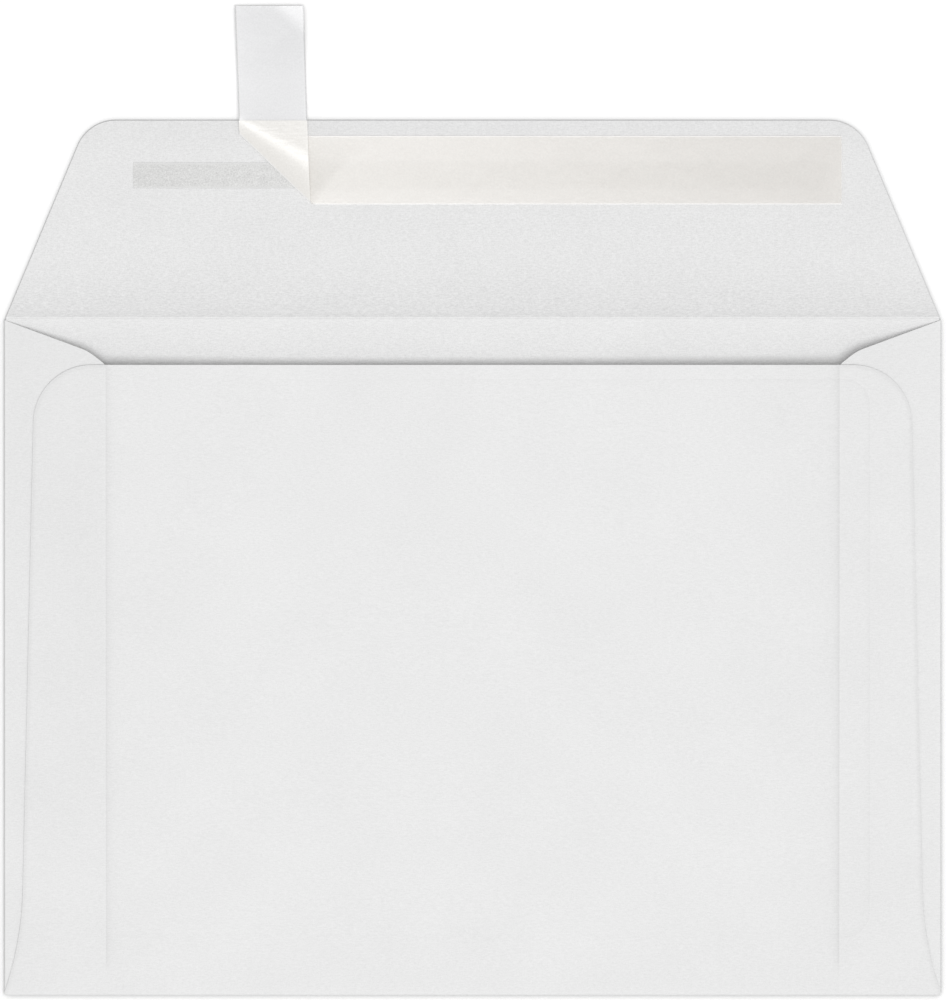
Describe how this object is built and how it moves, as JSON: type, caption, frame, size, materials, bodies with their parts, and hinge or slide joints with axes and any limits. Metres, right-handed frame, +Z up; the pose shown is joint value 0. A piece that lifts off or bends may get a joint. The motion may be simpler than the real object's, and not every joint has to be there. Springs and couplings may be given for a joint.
{
  "type": "window envelope",
  "caption": "Flat paper envelope with a full-face film window, open seal flap, adhesive strip and part-peeled release liner; the pocket stands slightly open.",
  "frame": {"origin": "middle of the seal-flap crease, on the underside of the envelope", "axes": "+X along the seal-flap crease, +Y across the open seal flap and away from the pocket, +Z up from the window side to the back"},
  "size_m": [0.1842, 0.195, 0.0054],
  "materials": {
    "paper": "matte",
    "film": "gloss",
    "gum": "satin",
    "adhesive": "satin",
    "liner": "gloss"
  },
  "bodies": {
    "root": {"envelope_paper": "paper", "window_film": "film", "window_gum": "gum", "seam_gum_left": "gum", "seam_gum_right": "gum", "seal_adhesive": "adhesive", "release_liner": "liner"}
  },
  "joints": []
}
